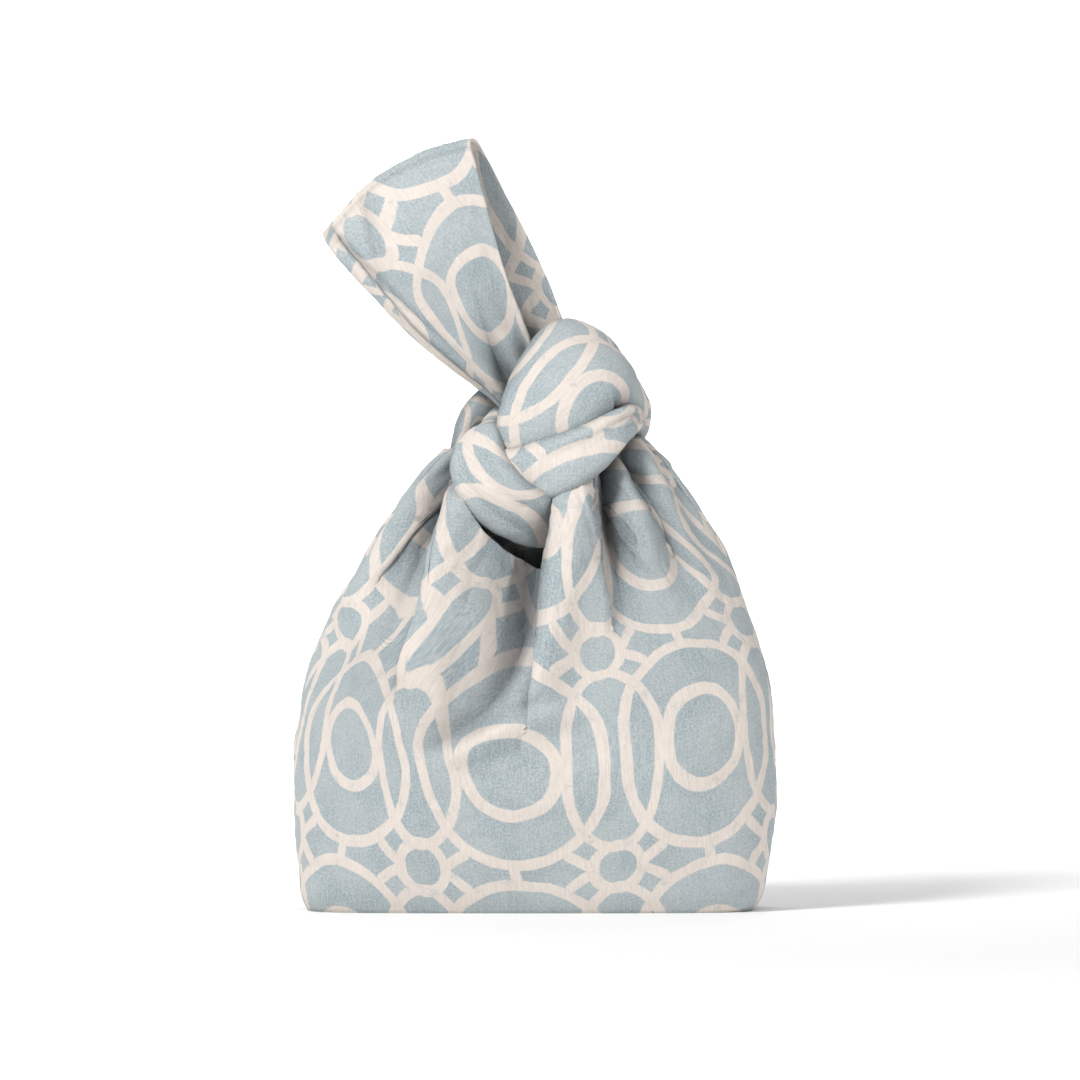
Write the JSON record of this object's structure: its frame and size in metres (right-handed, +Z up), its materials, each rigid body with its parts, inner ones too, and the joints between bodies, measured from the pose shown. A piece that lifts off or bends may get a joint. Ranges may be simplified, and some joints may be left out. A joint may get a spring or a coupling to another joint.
{
  "type": "knot bag",
  "caption": "Small knotted cloth bag with a boxed base, gathered sides and a wide handle loop.",
  "frame": {"origin": "centre of the base, on the surface that the bag stands on", "axes": "+Z up, -Y towards the front with the mouth and the knot's face, +X to the right seen from the front"},
  "size_m": [0.28, 0.1404, 0.448],
  "materials": {
    "printed_cloth": "matt woven linen and cotton with a pale printed trellis"
  },
  "bodies": {
    "root": {"front_panel": "printed_cloth", "back_panel": "printed_cloth", "short_strap": "printed_cloth", "long_strap": "printed_cloth"}
  },
  "joints": []
}
